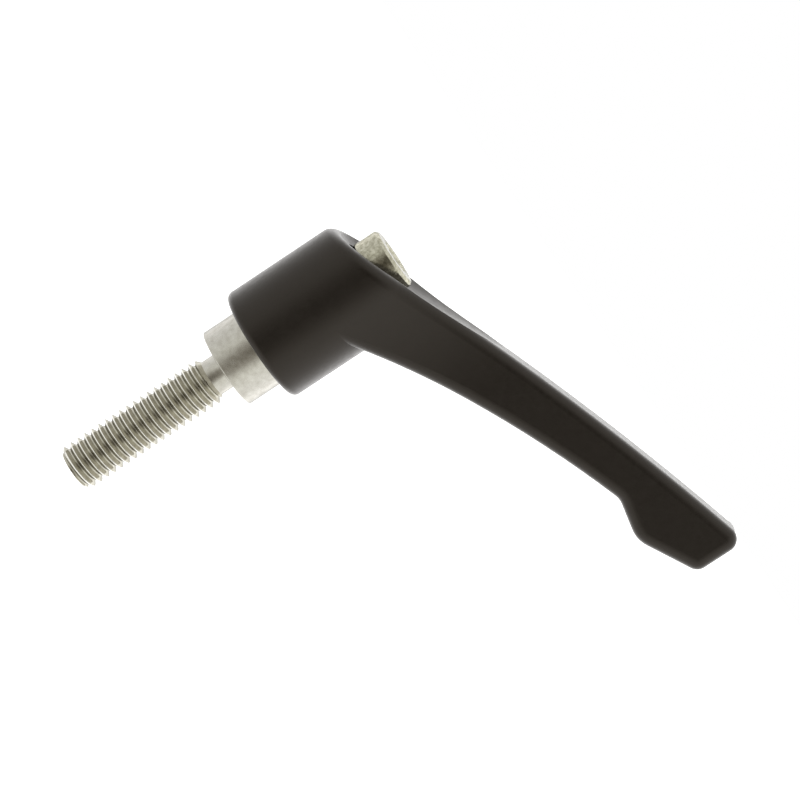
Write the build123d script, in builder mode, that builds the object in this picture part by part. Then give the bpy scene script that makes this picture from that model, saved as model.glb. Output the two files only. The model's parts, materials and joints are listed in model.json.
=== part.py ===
from build123d import *
import math
import os

# Adjustable clamping lever with a threaded stud.
#
# Frame: +Z is the stud's axis, pointing from the stud towards the handle. The
# origin is the centre of the collar's lower face, the face that clamps. The
# stud points down, along -Z, and the arm rises along +X. Millimetres.
#
# Four pieces: the steel insert that carries stud and serration, the die cast
# handle that drops over it, the shoulder screw that holds the two together,
# and the spring under the screw's head that keeps the serration in mesh.

# ---------------------------------------------------------------- stud
stud_diameter = 9.525  # 3/8-16 UNC
stud_length = 35.0  # from the clamping face to the stud's end
stud_end_chamfer = 1.0
thread_pitch = 25.4 / 16
thread_angle = 60.0  # between its flanks
crest_flat = thread_pitch / 8
root_flat = thread_pitch / 4
neck_diameter = 7.2
neck_length = 3.4

# ---------------------------------------------------------------- collar and serration
collar_diameter = 16.0
collar_height = 7.5  # what shows, from the clamping face to the hub
collar_chamfer = 0.4
guide_length = 5.6  # of the collar, inside the hub
guide_clearance = 0.15  # radial
tooth_count = 24
serration_root_diameter = 13.6
tooth_height = 0.8
tooth_root_width = 1.05
tooth_tip_width = 0.4
tooth_length = 4.5
tooth_clearance = 0.12  # all round a tooth
tooth_end_gap = 0.4  # axial, between the handle's teeth and the collar
spigot_height = 4.4  # of the insert, above its teeth
spigot_reduction = 0.3  # radial, from the root of the teeth

# ---------------------------------------------------------------- hub of the handle
hub_diameter = 23.0
hub_back_height = 23.7  # at the side away from the arm
hub_edge_radius = 1.3
recess_clearance = 0.9  # radial, round the screw's head
web_thickness = 2.0  # between the bore and the recess
seat_gap = 0.05  # axial, between the web and the insert that it rests on

# ---------------------------------------------------------------- arm of the handle
arm_reach = 81.0  # from the stud's axis to the tip
arm_width = 10.8
arm_flare_radius = 60.0  # where the sides run out into the hub
top_angle = 21.0  # slope of the flat top, in degrees
top_straight_reach = 24.0  # where the top starts to curve
tip_top_height = 55.9  # above the hub's lower face, as the other heights here
tip_bottom_height = 45.1
waist_reach = 61.2
waist_height = 40.5
heel_length = 8.3  # along the arm, from the waist to the heel
heel_drop = 1.7  # from the waist to the heel
underside_reach = 32.0
underside_height = 28.4
root_height = 9.3  # where the underside's curve meets the axis
heel_radius = 6.0
waist_radius = 4.0
tip_radius = 2.6
edge_radius = 2.3  # of every long edge

# ---------------------------------------------------------------- dish and scoop in the top
rim_wall = 2.1  # left beside the dish
dish_depth = 2.3  # below the sloping top
dish_offset = -0.7  # of its centre from the stud's axis, along the arm
scoop_reach = 25.8
rim_radius = 0.4  # of the crest round dish and scoop

# ---------------------------------------------------------------- screw
head_diameter = 12.2
head_height = 5.3
head_chamfer = 0.6
head_edge_radius = 0.3
shoulder_diameter = 8.0
shoulder_length = 10.8
shoulder_clearance = 0.25  # radial, in the web
screw_thread_diameter = 6.0  # M6, drawn plain
screw_thread_length = 9.0
screw_thread_clearance = 0.05  # radial
tapped_hole_spare = 2.0  # past the screw's end
drill_point_angle = 118.0
screw_end_chamfer = 0.6
socket_across_flats = 5.0
socket_depth = 3.0

# ---------------------------------------------------------------- spring
wire_diameter = 0.8
wire_sides = 8  # the round wire is drawn with flats, so that the coil stays light
spring_turns = 3.4
spring_clearance = 0.35  # radial, round the shoulder
spring_end_gap = 0.02  # axial, at each ground end

# ---------------------------------------------------------------- worked out
hub_radius = hub_diameter / 2
hub_bottom = collar_height
guide_top = hub_bottom + guide_length
teeth_top = guide_top + tooth_length
insert_top = teeth_top + spigot_height
web_bottom = insert_top + seat_gap
recess_floor = web_bottom + web_thickness
head_bottom = insert_top + shoulder_length
head_top = head_bottom + head_height
recess_radius = head_diameter / 2 + recess_clearance
shoulder_radius = shoulder_diameter / 2
top_slope = math.tan(math.radians(top_angle))
heel_reach = waist_reach + heel_length
heel_height = waist_height - heel_drop

# The dish is part of a ball that is let into the sloping top. The scoop is the round
# trough that the same ball leaves where it runs on, up to the top at scoop_reach.
top_at_axis = Vector(0, 0, hub_bottom + hub_back_height + hub_radius * top_slope)
along_top = Vector(1, 0, top_slope)
above_top = Vector(-top_slope, 0, 1).normalized()
dish_radius = hub_radius - rim_wall
ball_radius = (dish_radius**2 + dish_depth**2) / (2 * dish_depth)
ball_centre = top_at_axis + along_top * dish_offset + above_top * (ball_radius - dish_depth)
to_scoop_end = top_at_axis + along_top * scoop_reach - ball_centre
scoop_angle = math.atan2(to_scoop_end.Z, to_scoop_end.X) + math.asin(ball_radius / to_scoop_end.length)
scoop_plane = Plane(
    origin=ball_centre,
    x_dir=(math.cos(scoop_angle), 0, math.sin(scoop_angle)),
    z_dir=(0, -1, 0),
)


def toothed_section(growth):
    """The insert's serration in section, with every face moved out by growth."""
    root = serration_root_diameter / 2 + growth
    tip = root + tooth_height
    foot = root - tooth_height  # well inside the core, so that the two join
    Circle(root)
    with PolarLocations(0, tooth_count):
        Polygon(
            (foot, -tooth_root_width / 2 - growth),
            (root, -tooth_root_width / 2 - growth),
            (tip, -tooth_tip_width / 2 - growth),
            (tip, tooth_tip_width / 2 + growth),
            (root, tooth_root_width / 2 + growth),
            (foot, tooth_root_width / 2 + growth),
            align=None,
        )


# ================================================================ threaded insert
# Turned from one bar: stud, undercut neck, collar, serration and spigot.
with BuildPart() as threaded_insert:
    with BuildSketch(Plane.XZ):
        with BuildLine():
            Polyline(
                (0, -stud_length),
                (stud_diameter / 2 - stud_end_chamfer, -stud_length),
                (stud_diameter / 2, -stud_length + stud_end_chamfer),
                (stud_diameter / 2, -neck_length - (stud_diameter - neck_diameter) / 2),
                (neck_diameter / 2, -neck_length),
                (neck_diameter / 2, 0),
                (collar_diameter / 2 - collar_chamfer, 0),
                (collar_diameter / 2, collar_chamfer),
                (collar_diameter / 2, guide_top),
                (serration_root_diameter / 2, guide_top),
                (serration_root_diameter / 2, teeth_top),
                (serration_root_diameter / 2 - spigot_reduction, teeth_top),
                (serration_root_diameter / 2 - spigot_reduction, insert_top),
                (0, insert_top),
                close=True,
            )
        make_face()
    revolve(axis=Axis.Z)
    # thread, drawn as rings a pitch apart
    groove_count = int((stud_length - neck_length) / thread_pitch)
    groove_depth = (thread_pitch - crest_flat - root_flat) / 2 / math.tan(math.radians(thread_angle / 2))
    with BuildSketch(Plane.XZ):
        with Locations(
            [(stud_diameter / 2, thread_pitch * (k + 0.5) - stud_length) for k in range(groove_count)]
        ):
            Polygon(
                (-groove_depth, -root_flat / 2),
                (0, (crest_flat - thread_pitch) / 2),
                (0, (thread_pitch - crest_flat) / 2),
                (-groove_depth, root_flat / 2),
                align=None,
            )
    revolve(axis=Axis.Z, mode=Mode.SUBTRACT)
    with BuildSketch(Plane.XY.offset(guide_top)):
        toothed_section(0)
    extrude(amount=tooth_length)
    # tapped hole for the screw, with its drill point
    hole_radius = screw_thread_diameter / 2 + screw_thread_clearance
    hole_bottom = insert_top - screw_thread_length - tapped_hole_spare
    point_depth = hole_radius / math.tan(math.radians(drill_point_angle / 2))
    with BuildSketch(Plane.XZ):
        with BuildLine():
            Polyline(
                (0, hole_bottom - point_depth),
                (hole_radius, hole_bottom),
                (hole_radius, insert_top),
                (0, insert_top),
                close=True,
            )
        make_face()
    revolve(axis=Axis.Z, mode=Mode.SUBTRACT)

# ================================================================ handle
# The arm's blank is what its plan and its side view have in common.
with BuildPart() as arm_blank:
    with BuildSketch(Plane.XY.offset(hub_bottom)) as plan:
        Circle(hub_radius)
        with Locations((arm_reach / 2, 0)):
            Rectangle(arm_reach, arm_width)
        flare_corners = plan.vertices().filter_by(
            lambda v: abs(v.X - math.sqrt(hub_radius**2 - (arm_width / 2) ** 2)) < 0.01
        )
        fillet(flare_corners, arm_flare_radius)
    extrude(amount=tip_top_height)
    with BuildSketch(Plane.XZ) as side_view:
        top_back = (-hub_radius, hub_bottom + hub_back_height)
        top_bend = (
            top_straight_reach,
            hub_bottom + hub_back_height + (top_straight_reach + hub_radius) * top_slope,
        )
        with BuildLine():
            Line(top_back, top_bend)
            TangentArc(
                top_bend,
                (arm_reach, hub_bottom + tip_top_height),
                tangent=(1, top_slope),
            )
            Polyline(
                (arm_reach, hub_bottom + tip_top_height),
                (arm_reach, hub_bottom + tip_bottom_height),
                (heel_reach, hub_bottom + heel_height),
                (waist_reach, hub_bottom + waist_height),
            )
            ThreePointArc(
                (waist_reach, hub_bottom + waist_height),
                (underside_reach, hub_bottom + underside_height),
                (0, hub_bottom + root_height),
            )
            Polyline((0, hub_bottom + root_height), (-hub_radius, hub_bottom + root_height), top_back)
        make_face()
        tip_corners = side_view.vertices().group_by(Axis.X)[-1]
        fillet(tip_corners, tip_radius)
        heel = side_view.vertices().sort_by_distance((heel_reach, hub_bottom + heel_height))[0]
        fillet(heel, heel_radius)
        waist = side_view.vertices().sort_by_distance((waist_reach, hub_bottom + waist_height))[0]
        fillet(waist, waist_radius)
    extrude(amount=hub_radius, both=True, mode=Mode.INTERSECT)
    outline = (
        arm_blank.edges()
        - arm_blank.edges().filter_by(Axis.Y)
        - arm_blank.edges().filter_by(Axis.Z)
        - arm_blank.edges().group_by(Axis.Z)[0]
    )
    fillet(outline, edge_radius)

with BuildPart() as handle:
    with BuildSketch(Plane.XY.offset(hub_bottom)):
        Circle(hub_radius)
    extrude(amount=hub_back_height - 2 * edge_radius)
    fillet(handle.edges().group_by(Axis.Z)[0], hub_edge_radius)
    add(arm_blank.part)
    # bore: guide for the collar, internal serration, room for the spigot
    with BuildSketch(Plane.XY.offset(hub_bottom)):
        Circle(collar_diameter / 2 + guide_clearance)
    extrude(amount=guide_length + tooth_end_gap, mode=Mode.SUBTRACT)
    with BuildSketch(Plane.XY.offset(guide_top)):
        toothed_section(tooth_clearance)
    extrude(amount=web_bottom - guide_top, mode=Mode.SUBTRACT)
    # recess for the screw's head and the spring
    with BuildSketch(Plane.XY.offset(recess_floor)):
        Circle(recess_radius)
    extrude(amount=arm_reach, mode=Mode.SUBTRACT)
    # hole for the screw's shoulder
    with BuildSketch(Plane.XY.offset(web_bottom)):
        Circle(shoulder_radius + shoulder_clearance)
    extrude(amount=web_thickness, mode=Mode.SUBTRACT)
    # dish round the screw's head, and the scoop that runs out of it along the arm
    with BuildSketch(scoop_plane):
        with BuildLine():
            CenterArc((0, 0), ball_radius, 90, 90)
            Polyline(
                (0, ball_radius),
                (to_scoop_end.length, ball_radius),
                (to_scoop_end.length, 0),
                (-ball_radius, 0),
            )
        make_face()
    revolve(axis=Axis(scoop_plane.origin, scoop_plane.x_dir), mode=Mode.SUBTRACT)
    hollow = handle.faces().filter_by(lambda f: f.radius is not None and abs(f.radius - ball_radius) < 0.01)
    crest = hollow.edges().filter_by(
        lambda e: min(math.hypot((e @ end).X, (e @ end).Y) for end in (0, 1)) > recess_radius + rim_radius
    )
    fillet(crest, rim_radius)

# ================================================================ retaining screw
# A shoulder screw: its shoulder seats on the insert and sets the head's height.
with BuildPart() as retaining_screw:
    with BuildSketch(Plane.XZ):
        with BuildLine():
            Polyline(
                (0, insert_top - screw_thread_length),
                (screw_thread_diameter / 2 - screw_end_chamfer, insert_top - screw_thread_length),
                (screw_thread_diameter / 2, insert_top - screw_thread_length + screw_end_chamfer),
                (screw_thread_diameter / 2, insert_top),
                (shoulder_radius, insert_top),
                (shoulder_radius, head_bottom),
                (head_diameter / 2 - head_edge_radius, head_bottom),
                (head_diameter / 2, head_bottom + head_edge_radius),
                (head_diameter / 2, head_top - head_chamfer),
                (head_diameter / 2 - head_chamfer, head_top),
                (0, head_top),
                close=True,
            )
        make_face()
    revolve(axis=Axis.Z)
    with BuildSketch(Plane.XY.offset(head_top)):
        RegularPolygon(socket_across_flats / 2, 6, major_radius=False)
    extrude(amount=-socket_depth, mode=Mode.SUBTRACT)

# ================================================================ spring
# Its ends are ground flat, and bear on the recess's floor and the screw's head.
spring_radius = shoulder_radius + spring_clearance + wire_diameter / 2
spring_length = head_bottom - recess_floor
with BuildPart() as spring:
    with BuildLine() as coil:
        Helix(
            pitch=spring_length / spring_turns,
            height=spring_length,
            radius=spring_radius,
            center=(0, 0, recess_floor),
        )
    with BuildSketch(Plane(origin=coil.line @ 0, z_dir=coil.line % 0)):
        RegularPolygon(wire_diameter / 2, wire_sides)
    sweep(is_frenet=True)
    with Locations((0, 0, recess_floor + spring_end_gap)):
        Cylinder(
            spring_radius + wire_diameter,
            spring_length - 2 * spring_end_gap,
            align=(Align.CENTER, Align.CENTER, Align.MIN),
            mode=Mode.INTERSECT,
        )

pieces = {
    "threaded_insert": threaded_insert,
    "handle": handle,
    "retaining_screw": retaining_screw,
    "spring": spring,
}
os.makedirs("parts", exist_ok=True)
for name, piece in pieces.items():
    piece.part.label = name
    export_step(piece.part, f"parts/{name}.step")
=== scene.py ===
"""Looks of the adjustable clamping lever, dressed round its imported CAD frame.

Metres, +Z along the stud's axis."""

import json
import math

import bmesh
import bpy
from mathutils import Matrix, Vector

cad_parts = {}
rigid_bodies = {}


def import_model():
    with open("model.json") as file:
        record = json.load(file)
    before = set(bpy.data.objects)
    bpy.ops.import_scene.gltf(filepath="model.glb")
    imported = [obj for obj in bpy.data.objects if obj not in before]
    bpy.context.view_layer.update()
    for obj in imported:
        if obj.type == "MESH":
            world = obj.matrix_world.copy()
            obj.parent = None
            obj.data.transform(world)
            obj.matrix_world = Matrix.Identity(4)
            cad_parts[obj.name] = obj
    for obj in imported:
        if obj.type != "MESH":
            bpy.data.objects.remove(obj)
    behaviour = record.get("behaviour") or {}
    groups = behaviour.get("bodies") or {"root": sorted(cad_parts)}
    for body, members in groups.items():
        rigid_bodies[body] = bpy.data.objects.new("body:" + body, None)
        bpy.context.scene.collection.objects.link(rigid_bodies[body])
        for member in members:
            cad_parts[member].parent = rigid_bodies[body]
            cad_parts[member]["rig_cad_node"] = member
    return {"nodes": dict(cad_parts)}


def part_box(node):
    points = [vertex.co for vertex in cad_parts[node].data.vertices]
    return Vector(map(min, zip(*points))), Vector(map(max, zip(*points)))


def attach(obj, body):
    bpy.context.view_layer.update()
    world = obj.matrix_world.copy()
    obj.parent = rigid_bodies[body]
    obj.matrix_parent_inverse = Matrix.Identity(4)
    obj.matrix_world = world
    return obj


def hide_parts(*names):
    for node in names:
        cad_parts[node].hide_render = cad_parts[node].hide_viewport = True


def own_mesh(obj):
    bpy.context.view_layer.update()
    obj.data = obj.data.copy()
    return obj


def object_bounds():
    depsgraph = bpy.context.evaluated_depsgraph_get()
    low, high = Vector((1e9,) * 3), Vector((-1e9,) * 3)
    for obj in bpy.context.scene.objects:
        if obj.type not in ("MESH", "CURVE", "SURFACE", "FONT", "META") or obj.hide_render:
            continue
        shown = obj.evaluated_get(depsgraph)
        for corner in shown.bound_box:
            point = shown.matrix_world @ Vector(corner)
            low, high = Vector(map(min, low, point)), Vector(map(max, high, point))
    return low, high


MM = 0.001
MERGE_DISTANCE = 0.0001 * MM

# ---------------------------------------------------------------- view and stage
VIEW_AZIMUTH = math.radians(7.04)  # of the camera, from -Y towards -X
VIEW_ELEVATION = math.radians(6.14)
STUD_AXIS_SLANT = math.radians(33.36)  # of +Z in the picture, above its horizontal
VIEW_DISTANCE = 704.5 * MM
AIM_FROM_CENTRE = Vector((-11.68, 0, 9.97)) * MM  # from the middle of the object's box
LENS = 168.4  # millimetres
SENSOR_WIDTH = 36  # millimetres
CLIP_END = 20  # metres
FLOOR_DROP = 60 * MM  # under the object's box
FLOOR_SIZE = 6.0  # metres
FLOOR_TONE = (0.85, 0.85, 0.85)
FLOOR_ROUGHNESS = 0.9
FLOOR_GLOW = 0.7
WHITE = (1, 1, 1)
TENT_LIGHT = [  # degrees away from the camera, and the tent's light there
    (180, (2.3, 2.3, 2.3)),
    (140, (2.0, 2.0, 2.0)),
    (118, (1.25, 1.25, 1.23)),
    (95, (1.0, 1.0, 0.97)),
    (80, (0.95, 0.95, 0.91)),
    (45, (0.86, 0.86, 0.80)),
    (24, (0.30, 0.28, 0.24)),
    (10, (0.10, 0.09, 0.07)),
    (0, (0.06, 0.055, 0.04)),
]
TENT_LEAN = 0.15  # how much brighter it is on the side the arm points to

# ---------------------------------------------------------------- threads and teeth
COLUMNS = 120  # round every turned piece: five to a tooth of the serration
TOOTH_COUNT = 24
STUD_RADIUS = 4.7625 * MM
STUD_PITCH = 25.4 / 16 * MM
SCREW_PITCH = 1.0 * MM
ROWS_PER_PITCH = 16
THREAD_DEPTH = 0.63  # this and the next two are shares of the pitch
CREST_FLAT = 0.07
THREAD_SOFTNESS = 0.035
FLANK_SLOPE = math.tan(math.radians(60))  # rise of a flank for its run along the axis

# ---------------------------------------------------------------- metal
EDGE_TINT = (0.4, 0.4, 0.4)  # dims the metal's edges
ROUGHNESS_SPREAD = 0.07  # either way
LINES_STRETCH = (0.03, 0.03, 1)  # draws the noise out into lines round Z
# painted highlight: the near-white tone put on the stud's thread crests in place of their glint
CREST_HIGHLIGHT_TONE = (0.93, 0.92, 0.88)
CREST_HIGHLIGHT_DEPTH = 0.0625 * MM  # of the painted highlight on the stud's crests
CREST_HIGHLIGHT_BAND = 0.06 * MM  # over which the painted highlight fades in
MIX_FIRST, MIX_SECOND, MIX_RESULT = 6, 7, 2  # a Mix node's sockets for colours


# ================================================================ mesh helpers
def new_object(name, bm, smooth_angle=40):
    """The bmesh as an object whose edges sharper than smooth_angle degrees stay crisp."""
    bmesh.ops.remove_doubles(bm, verts=bm.verts, dist=MERGE_DISTANCE)
    bmesh.ops.recalc_face_normals(bm, faces=bm.faces)
    mesh = bpy.data.meshes.new(name)
    bm.to_mesh(mesh)
    bm.free()
    mesh.shade_smooth()
    mesh.set_sharp_from_angle(angle=math.radians(smooth_angle))
    obj = bpy.data.objects.new(name, mesh)
    bpy.context.scene.collection.objects.link(obj)
    return obj


def column_angle(i):
    return 2 * math.pi * (i + 0.5) / COLUMNS


def add_grid(bm, rows, seam_shift=0):
    """Skins rows of (radius, z) pairs, one pair to a column.

    Past the last column, row j goes on as row j + seam_shift."""
    angles = [column_angle(i) for i in range(COLUMNS)]
    grid = [
        [bm.verts.new((r * math.cos(angle), r * math.sin(angle), z)) for angle, (r, z) in zip(angles, row)]
        for row in rows
    ]
    for j in range(len(rows) - 1 - seam_shift):
        bm.faces.new((grid[j][-1], grid[j + seam_shift][0], grid[j + seam_shift + 1][0], grid[j + 1][-1]))
    for j in range(len(rows) - 1):
        for i in range(COLUMNS - 1):
            bm.faces.new((grid[j][i], grid[j][i + 1], grid[j + 1][i + 1], grid[j + 1][i]))


def add_turned(bm, outline):
    """A surface turned round Z.

    Each point of the outline is (radius, z), and a radius may be a function of the angle."""
    rows = []
    for radius, z in outline:
        rows.append([(radius(column_angle(i)) if callable(radius) else radius, z) for i in range(COLUMNS)])
    add_grid(bm, rows)


def rounded(points, steps=4):
    """An outline of (r, z) or (r, z, radius) points, the latter as arcs of that radius."""
    out = []
    for k, point in enumerate(points):
        if len(point) == 2:
            out.append(point)
            continue
        r, z, radius = point
        here = Vector((r, z))
        before = (Vector(points[k - 1][:2]) - here).normalized()
        after = (Vector(points[k + 1][:2]) - here).normalized()
        half = before.angle(after) / 2
        reach = radius / math.tan(half)
        centre = here + (before + after).normalized() * (radius / math.sin(half))
        start = here + before * reach - centre
        turn = start.angle_signed(here + after * reach - centre)
        for s in range(steps + 1):
            spoke = start.copy()
            spoke.rotate(Matrix.Rotation(-turn * s / steps, 2))
            out.append(tuple(centre + spoke))
    return out


def soft_min(a, b, k):
    """The lesser of a and b, eased where they differ by less than k."""
    return min(a, b) - max(k - abs(a - b), 0) ** 2 / (4 * k)


def thread_groove(turns):
    """Depth under the crest, in pitches, at a place that many turns from the middle of a crest."""
    off_crest = abs((turns + 0.5) % 1 - 0.5)
    flank = (off_crest - CREST_FLAT / 2) * FLANK_SLOPE
    flank = -soft_min(-flank, 0, THREAD_SOFTNESS)
    return soft_min(flank, THREAD_DEPTH, THREAD_SOFTNESS)


def add_thread(bm, crest_radius, pitch, envelope):
    """A right-hand thread cut into the turned outline envelope, a rising list of (radius, z)."""
    low, high = envelope[0][1], envelope[-1][1]

    def limit(z):
        for (r0, z0), (r1, z1) in zip(envelope, envelope[1:]):
            if z <= z1:
                return r0 + (r1 - r0) * (z - z0) / (z1 - z0)
        return envelope[-1][0]

    def place(j, i):
        rise = pitch * (j / ROWS_PER_PITCH - 1 + column_angle(i) / (2 * math.pi))
        z = min(max(low + rise, low), high)
        radius = crest_radius - pitch * thread_groove(j / ROWS_PER_PITCH)
        return min(radius, limit(z)), z

    row_count = math.ceil((high - low) / pitch + 1) * ROWS_PER_PITCH + 1
    add_grid(bm, [[place(j, i) for i in range(COLUMNS)] for j in range(row_count)], ROWS_PER_PITCH)


# ================================================================ node helpers
def node_tree(name):
    material = bpy.data.materials.new(name)
    material.use_nodes = True
    tree = material.node_tree
    return material, tree, tree.nodes["Principled BSDF"]


def add_node(tree, kind, inputs=None, **settings):
    node = tree.nodes.new(kind)
    for key, value in settings.items():
        setattr(node, key, value)
    for key, value in (inputs or {}).items():
        if isinstance(value, bpy.types.NodeSocket):
            tree.links.new(value, node.inputs[key])
        else:
            node.inputs[key].default_value = value
    return node


def noise(tree, scale, detail=3.0, stretch=(1, 1, 1)):
    """Noise in the object's own metres, scale waves to a metre."""
    place = add_node(tree, "ShaderNodeTexCoord").outputs["Object"]
    mapping = add_node(tree, "ShaderNodeMapping", {"Vector": place, "Scale": stretch})
    return add_node(
        tree, "ShaderNodeTexNoise", {"Vector": mapping.outputs["Vector"], "Scale": scale, "Detail": detail}
    ).outputs["Fac"]


def spread(tree, value, low, high, from_low=0.3, from_high=0.7):
    """The value's range, by default what noise mostly fills, stretched to low and high."""
    return add_node(
        tree,
        "ShaderNodeMapRange",
        {"Value": value, "From Min": from_low, "From Max": from_high, "To Min": low, "To Max": high},
    ).outputs["Result"]


def blend_colours(tree, factor, first, second):
    """From first to second, each of them a socket or (red, green, blue)."""
    inputs = {0: factor}
    for key, colour in ((MIX_FIRST, first), (MIX_SECOND, second)):
        inputs[key] = colour if isinstance(colour, bpy.types.NodeSocket) else (*colour, 1)
    return add_node(tree, "ShaderNodeMix", inputs, data_type="RGBA").outputs[MIX_RESULT]


def bump(tree, heights, depth):
    return add_node(
        tree, "ShaderNodeBump", {"Height": heights, "Distance": depth, "Strength": 1.0}
    ).outputs["Normal"]


# ================================================================ materials
def powder_coat():
    """Near-black coat on the die casting: satin, with a faint orange peel and pores."""
    material, tree, shader = node_tree("powder_coat")
    tone = blend_colours(tree, noise(tree, 260, 4), (0.0048, 0.0036, 0.0028), (0.0075, 0.0058, 0.0045))
    tree.links.new(tone, shader.inputs["Base Color"])
    tree.links.new(spread(tree, noise(tree, 900, 5), 0.33, 0.42), shader.inputs["Roughness"])
    tree.links.new(bump(tree, noise(tree, 1500, 4), 0.012 * MM), shader.inputs["Normal"])
    shader.inputs["Specular Tint"].default_value = (1.0, 0.9, 0.82, 1)
    shader.inputs["Sheen Weight"].default_value = 0.22
    shader.inputs["Sheen Roughness"].default_value = 0.25
    return material


def plated_steel(name, dark, light, roughness, blotches, turned=0.0, grit=0.004 * MM, highlight_radius=None):
    """Plated steel, with its blotches given in waves to a metre and the depth of its grain as grit.

    turned is the depth of its fine lines round Z as a share of that. What lies farther from Z than
    the highlight radius is painted bright: a painted highlight on the thread's crests."""
    material, tree, shader = node_tree(name)
    shader.inputs["Metallic"].default_value = 1.0
    shader.inputs["Specular Tint"].default_value = (*EDGE_TINT, 1)
    tone = blend_colours(tree, spread(tree, noise(tree, blotches, 8), 0, 1), dark, light)
    # painted highlight: beyond the given radius from Z, the thread crests are blended towards the
    # near-white highlight tone
    if highlight_radius:
        place = add_node(tree, "ShaderNodeTexCoord").outputs["Object"]
        outward = add_node(tree, "ShaderNodeVectorMath", {0: place, 1: (1, 1, 0)}, operation="MULTIPLY")
        radius = add_node(tree, "ShaderNodeVectorMath", {0: outward.outputs["Vector"]}, operation="LENGTH")
        crest_highlight = spread(tree, radius.outputs["Value"], 0, 1, highlight_radius - CREST_HIGHLIGHT_BAND, highlight_radius)
        tone = blend_colours(tree, crest_highlight, tone, CREST_HIGHLIGHT_TONE)
    tree.links.new(tone, shader.inputs["Base Color"])
    gloss = spread(tree, noise(tree, 1300, 5), roughness - ROUGHNESS_SPREAD, roughness + ROUGHNESS_SPREAD)
    tree.links.new(gloss, shader.inputs["Roughness"])
    grain = noise(tree, 2600, 4)
    lines = noise(tree, 9000, 2, stretch=LINES_STRETCH)
    height = add_node(
        tree, "ShaderNodeMath", {0: lines, 1: turned, 2: grain}, operation="MULTIPLY_ADD"
    ).outputs[0]
    tree.links.new(bump(tree, height, grit), shader.inputs["Normal"])
    return material


def finish(obj, material, body):
    """Gives the object its material and, where it isn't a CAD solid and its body."""
    obj.data.materials.clear()
    obj.data.materials.append(material)
    if "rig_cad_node" not in obj:
        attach(obj, body)


# ================================================================ pieces
def make_insert():
    """Stud with its thread, neck, collar, serration and spigot, all turned from one bar."""
    low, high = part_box("threaded_insert")
    stud_end, top = low.z, high.z
    collar_radius = high.x
    end_chamfer = 1.0 * MM
    neck_radius = 3.6 * MM
    neck_length = 3.4 * MM
    neck_fillet = 0.25 * MM
    collar_edge = 0.3 * MM
    guide_top = 13.1 * MM
    teeth_top = 17.6 * MM
    tooth_root = 6.8 * MM
    tooth_tip = 7.6 * MM
    tooth_half_width = math.radians(2)
    spigot_radius = 6.5 * MM
    spigot_edge = 0.3 * MM
    hole_radius = 3.05 * MM
    hole_edge = 0.2 * MM
    hole_bottom = 11.0 * MM
    hole_point = 9.17 * MM

    def teeth(angle):
        step = 2 * math.pi / TOOTH_COUNT
        off = angle % step
        return tooth_tip if min(off, step - off) < tooth_half_width else tooth_root

    bm = bmesh.new()
    add_turned(bm, [(0, stud_end), (STUD_RADIUS - end_chamfer, stud_end)])
    add_thread(
        bm,
        STUD_RADIUS,
        STUD_PITCH,
        [
            (STUD_RADIUS - end_chamfer, stud_end),
            (STUD_RADIUS, stud_end + end_chamfer),
            (STUD_RADIUS, -neck_length - (STUD_RADIUS - neck_radius)),
            (neck_radius, -neck_length),
        ],
    )
    add_turned(
        bm,
        rounded(
            [
                (neck_radius, -neck_length),
                (neck_radius, 0, neck_fillet),
                (collar_radius, 0, collar_edge),
                (collar_radius, guide_top),
                (tooth_root, guide_top),
            ]
        ),
    )
    add_turned(
        bm,
        [
            (tooth_root, guide_top),
            (teeth, guide_top),
            (teeth, teeth_top),
            (spigot_radius, teeth_top),
        ],
    )
    add_turned(
        bm,
        rounded(
            [
                (spigot_radius, teeth_top),
                (spigot_radius, top, spigot_edge),
                (hole_radius, top, hole_edge),
                (hole_radius, hole_bottom),
                (0, hole_point),
            ]
        ),
    )
    insert = new_object("turned_insert", bm)
    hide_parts("threaded_insert")
    return insert, -neck_length


def make_screw():
    """Shoulder screw: chamfered round head with a hexagon socket, shoulder and thread."""
    low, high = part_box("retaining_screw")
    foot, head_top = low.z, high.z
    insert_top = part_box("threaded_insert")[1].z
    thread_radius = 3.0 * MM
    foot_chamfer = 0.6 * MM
    runout_length = 0.7 * MM
    core_radius = thread_radius - 0.65 * MM
    shoulder_radius = 4.0 * MM
    shoulder_edge = 0.3 * MM
    under_head_fillet = 0.2 * MM
    head_radius = high.x
    head_bottom = 32.8 * MM
    head_edge = 0.3 * MM
    head_chamfer = 0.6 * MM
    chamfer_edge = 0.25 * MM
    countersink_radius = 3.5 * MM
    socket_half_width = 2.5 * MM
    socket_depth = 3.0 * MM  # from the head's top to the foot of its walls
    floor_drop = 0.5 * MM  # of the drilled floor, from there to its middle
    lip_width = 0.12 * MM  # of the soft lip between countersink and socket
    lip_top, lip_bottom = 0.35 * MM, 0.5 * MM  # below the head's top

    def socket(angle):
        return socket_half_width / math.cos(angle % (math.pi / 3) - math.pi / 6)

    bm = bmesh.new()
    add_turned(bm, [(0, foot), (thread_radius - foot_chamfer, foot)])
    add_thread(
        bm,
        thread_radius,
        SCREW_PITCH,
        [
            (thread_radius - foot_chamfer, foot),
            (thread_radius, foot + foot_chamfer),
            (thread_radius, insert_top - runout_length),
            (core_radius, insert_top),
        ],
    )
    add_turned(
        bm,
        rounded(
            [
                (core_radius, insert_top),
                (shoulder_radius, insert_top, shoulder_edge),
                (shoulder_radius, head_bottom, under_head_fillet),
                (head_radius, head_bottom, head_edge),
                (head_radius, head_top - head_chamfer, chamfer_edge),
                (head_radius - head_chamfer, head_top, chamfer_edge),
                (countersink_radius, head_top),
            ]
        ),
    )
    add_turned(
        bm,
        [
            (countersink_radius, head_top),
            (lambda angle: socket(angle) + lip_width, head_top - lip_top),
            (socket, head_top - lip_bottom),
            (socket, head_top - socket_depth),
            (0, head_top - socket_depth - floor_drop),
        ],
    )
    screw = new_object("shoulder_screw", bm, smooth_angle=30)
    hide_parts("retaining_screw")
    return screw


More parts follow.
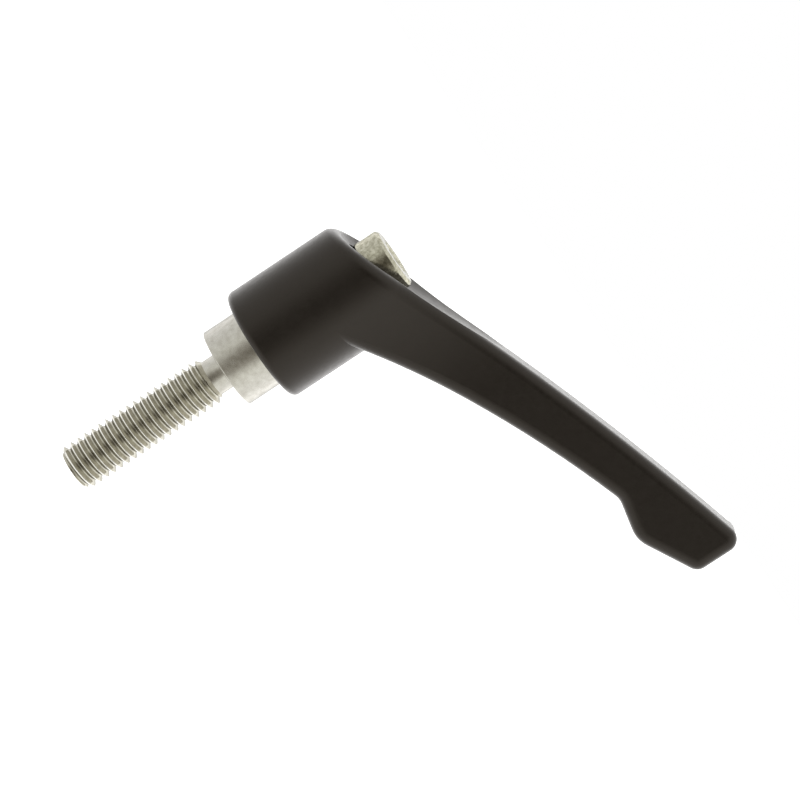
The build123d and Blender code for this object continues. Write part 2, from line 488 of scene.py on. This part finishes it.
def make_spring():
    """Coil of round wire between the recess's floor and the screw's head, its ends ground flat."""
    low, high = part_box("spring")
    turns = 3.4
    wire_radius = 0.4 * MM
    sides = 20
    steps_per_turn = 48
    radius = high.x - wire_radius
    count = round(turns * steps_per_turn)
    length = high.z - low.z
    bm = bmesh.new()
    rings = []
    for k in range(count + 1):
        angle = 2 * math.pi * turns * k / count
        middle = low.z + length * k / count
        ring = []
        for s in range(sides):
            around = 2 * math.pi * s / sides
            r = radius + wire_radius * math.cos(around)
            z = min(max(middle + wire_radius * math.sin(around), low.z), high.z)
            ring.append(bm.verts.new((r * math.cos(angle), r * math.sin(angle), z)))
        rings.append(ring)
    for a, b in zip(rings, rings[1:]):
        for s in range(sides):
            bm.faces.new((a[s - 1], a[s], b[s], b[s - 1]))
    bm.faces.new(rings[0])
    bm.faces.new(rings[-1])
    spring = new_object("coil_spring", bm)
    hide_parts("spring")
    return spring


# ================================================================ stage
def make_stage(bounds):
    low, _ = bounds
    bpy.ops.mesh.primitive_plane_add(size=FLOOR_SIZE, location=(0, 0, low[2] - FLOOR_DROP))
    floor = bpy.context.object
    floor.name = "floor"
    material, _, shader = node_tree("white_floor")
    shader.inputs["Base Color"].default_value = (*FLOOR_TONE, 1)
    shader.inputs["Roughness"].default_value = FLOOR_ROUGHNESS
    shader.inputs["Emission Color"].default_value = (*WHITE, 1)
    shader.inputs["Emission Strength"].default_value = FLOOR_GLOW
    floor.data.materials.append(material)
    floor.visible_glossy = False  # the metal mirrors the tent alone


def view_axes():
    """Right, up and backward of the camera."""
    back = Vector(
        (
            -math.sin(VIEW_AZIMUTH) * math.cos(VIEW_ELEVATION),
            -math.cos(VIEW_AZIMUTH) * math.cos(VIEW_ELEVATION),
            math.sin(VIEW_ELEVATION),
        )
    )
    upright = (Vector((0, 0, 1)) - back * back.z).normalized()
    across = upright.cross(back)
    right = upright * math.cos(STUD_AXIS_SLANT) + across * math.sin(STUD_AXIS_SLANT)
    up = upright * math.sin(STUD_AXIS_SLANT) - across * math.cos(STUD_AXIS_SLANT)
    return right, up, back


def make_camera(bounds):
    low, high = (Vector(corner) for corner in bounds)
    right, up, back = view_axes()
    data = bpy.data.cameras.new("camera")
    data.lens = LENS
    data.sensor_width = SENSOR_WIDTH
    data.clip_end = CLIP_END
    camera = bpy.data.objects.new("camera", data)
    bpy.context.scene.collection.objects.link(camera)
    aim = (low + high) / 2 + AIM_FROM_CENTRE
    turn = Matrix((right, up, back)).transposed().to_4x4()
    camera.matrix_world = Matrix.Translation(aim + back * VIEW_DISTANCE) @ turn
    bpy.context.scene.camera = camera


def make_world():
    """A white tent that glows behind the object and is dim and warm round the camera.

    Camera rays see plain white."""
    _, _, back = view_axes()
    world = bpy.data.worlds.new("tent")
    bpy.context.scene.world = world
    world.use_nodes = True
    tree = world.node_tree
    direction = add_node(tree, "ShaderNodeTexCoord").outputs["Generated"]
    facing = add_node(tree, "ShaderNodeVectorMath", {0: direction, 1: back}, operation="DOT_PRODUCT")
    ramp = add_node(
        tree, "ShaderNodeValToRGB", {"Fac": spread(tree, facing.outputs["Value"], 0, 1, -1, 1)}
    )
    elements = ramp.color_ramp.elements
    while len(elements) < len(TENT_LIGHT):
        elements.new(1.0)
    for element, (degrees, light) in zip(elements, TENT_LIGHT):
        element.position = (1 + math.cos(math.radians(degrees))) / 2
        element.color = (*light, 1)
    across = Vector((0, 0, 1)).cross(back).normalized()
    aside = add_node(tree, "ShaderNodeVectorMath", {0: direction, 1: across}, operation="DOT_PRODUCT")
    lean = spread(tree, aside.outputs["Value"], 1 - TENT_LEAN, 1 + TENT_LEAN, -1, 1)
    light = add_node(
        tree, "ShaderNodeVectorMath", {0: ramp.outputs["Color"], 1: lean}, operation="MULTIPLY"
    ).outputs["Vector"]
    seen = add_node(tree, "ShaderNodeLightPath").outputs["Is Camera Ray"]
    tree.links.new(blend_colours(tree, seen, light, WHITE), tree.nodes["Background"].inputs["Color"])


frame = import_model()
cad_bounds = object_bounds()

coat = powder_coat()
turned_steel = plated_steel("turned_steel", (0.53, 0.51, 0.465), (0.67, 0.655, 0.61), 0.22, 900, turned=0.5)
thread_steel = plated_steel(
    "thread_steel", (0.47, 0.45, 0.385), (0.63, 0.61, 0.535), 0.2, 900, highlight_radius=STUD_RADIUS - CREST_HIGHLIGHT_DEPTH
)
nickel = plated_steel("nickel", (0.34, 0.325, 0.245), (0.68, 0.66, 0.555), 0.22, 1500, grit=0.01 * MM)
spring_wire = plated_steel("spring_wire", (0.30, 0.30, 0.29), (0.42, 0.42, 0.40), 0.3, 900)

finish(frame["nodes"]["handle"], coat, "lever")
insert, thread_top = make_insert()
finish(insert, turned_steel, "insert")
insert.data.materials.append(thread_steel)
for face in insert.data.polygons:
    face.material_index = int(face.center.z < thread_top)
finish(make_screw(), nickel, "insert")
spring = make_spring()
finish(spring, spring_wire, "coil")
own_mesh(spring)

make_stage(cad_bounds)
make_camera(cad_bounds)
make_world()
scene = bpy.context.scene
scene.view_settings.view_transform = "Standard"
